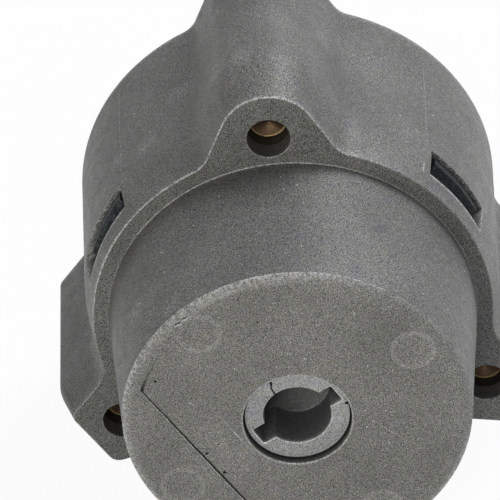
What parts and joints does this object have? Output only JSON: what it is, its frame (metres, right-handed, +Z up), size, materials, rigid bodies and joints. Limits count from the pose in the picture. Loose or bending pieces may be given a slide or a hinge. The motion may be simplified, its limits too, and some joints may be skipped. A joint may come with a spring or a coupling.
{
  "type": "ignition switch",
  "caption": "Vehicle ignition switch: die-cast eared drum with a drafted nose, a turning driver with a winged key socket, inner detent and sliding contacts, and rear blade terminals.",
  "frame": {"origin": "centre of the screw-hole circle in the plane of the flange's front face", "axes": "-Y along the switch axis toward the nose and the driver, +Z up through the round ear, +X to the right seen from the front"},
  "size_m": [0.061, 0.0604, 0.0594],
  "materials": {
    "cast_housing": "matte die-cast zinc alloy, as cast",
    "cast_driver": "die-cast zinc alloy, smoother than the housing",
    "spring_steel": "drawn spring steel",
    "ball_steel": "polished bearing steel",
    "black_plastic": "moulded, dark blue-black",
    "brown_plastic": "moulded phenolic",
    "ivory_plastic": "moulded acetal",
    "screw_brass": "turned, dulled brass",
    "terminal_brass": "stamped brass strip",
    "contact_copper": "stamped copper"
  },
  "bodies": {
    "housing": {"housing": "cast_housing", "terminal_base": "black_plastic", "fixing_screws": "screw_brass", "battery_terminal": "terminal_brass", "accessory_terminal": "terminal_brass", "ignition_terminal": "terminal_brass", "start_terminal": "terminal_brass", "detent_ring": "ivory_plastic", "return_spring": "spring_steel"},
    "driver": {"driver": "cast_driver", "thrust_washer": "spring_steel", "contact_rotor": "brown_plastic", "accessory_spring": "spring_steel", "ignition_spring": "spring_steel", "start_spring": "spring_steel", "right_ball_spring": "spring_steel", "left_ball_spring": "spring_steel"},
    "accessory_bridge": {"accessory_bridge": "contact_copper"},
    "ignition_bridge": {"ignition_bridge": "contact_copper"},
    "start_bridge": {"start_bridge": "contact_copper"},
    "right_ball": {"right_ball": "ball_steel"},
    "left_ball": {"left_ball": "ball_steel"}
  },
  "joints": [
    {"name": "driver_turn", "type": "hinge", "parent": "housing", "child": "driver", "pos_m": [0, 0, 0], "axis": [0, 1, 0], "range_deg": [0, 105], "deforming": ["return_spring"]},
    {"name": "accessory_float", "type": "slide", "parent": "driver", "child": "accessory_bridge", "axis": [0, -1, 0], "range_m": [0, 0.0006], "deforming": ["accessory_spring"]},
    {"name": "ignition_float", "type": "slide", "parent": "driver", "child": "ignition_bridge", "axis": [0, -1, 0], "range_m": [0, 0.0006], "deforming": ["ignition_spring"]},
    {"name": "start_float", "type": "slide", "parent": "driver", "child": "start_bridge", "axis": [0, -1, 0], "range_m": [0, 0.0006], "deforming": ["start_spring"]},
    {"name": "right_ball_click", "type": "slide", "parent": "driver", "child": "right_ball", "axis": [1, 0, 0], "range_m": [0, 0.0003], "deforming": ["right_ball_spring"]},
    {"name": "left_ball_click", "type": "slide", "parent": "driver", "child": "left_ball", "axis": [-1, 0, 0], "range_m": [0, 0.0003], "deforming": ["left_ball_spring"]}
  ]
}
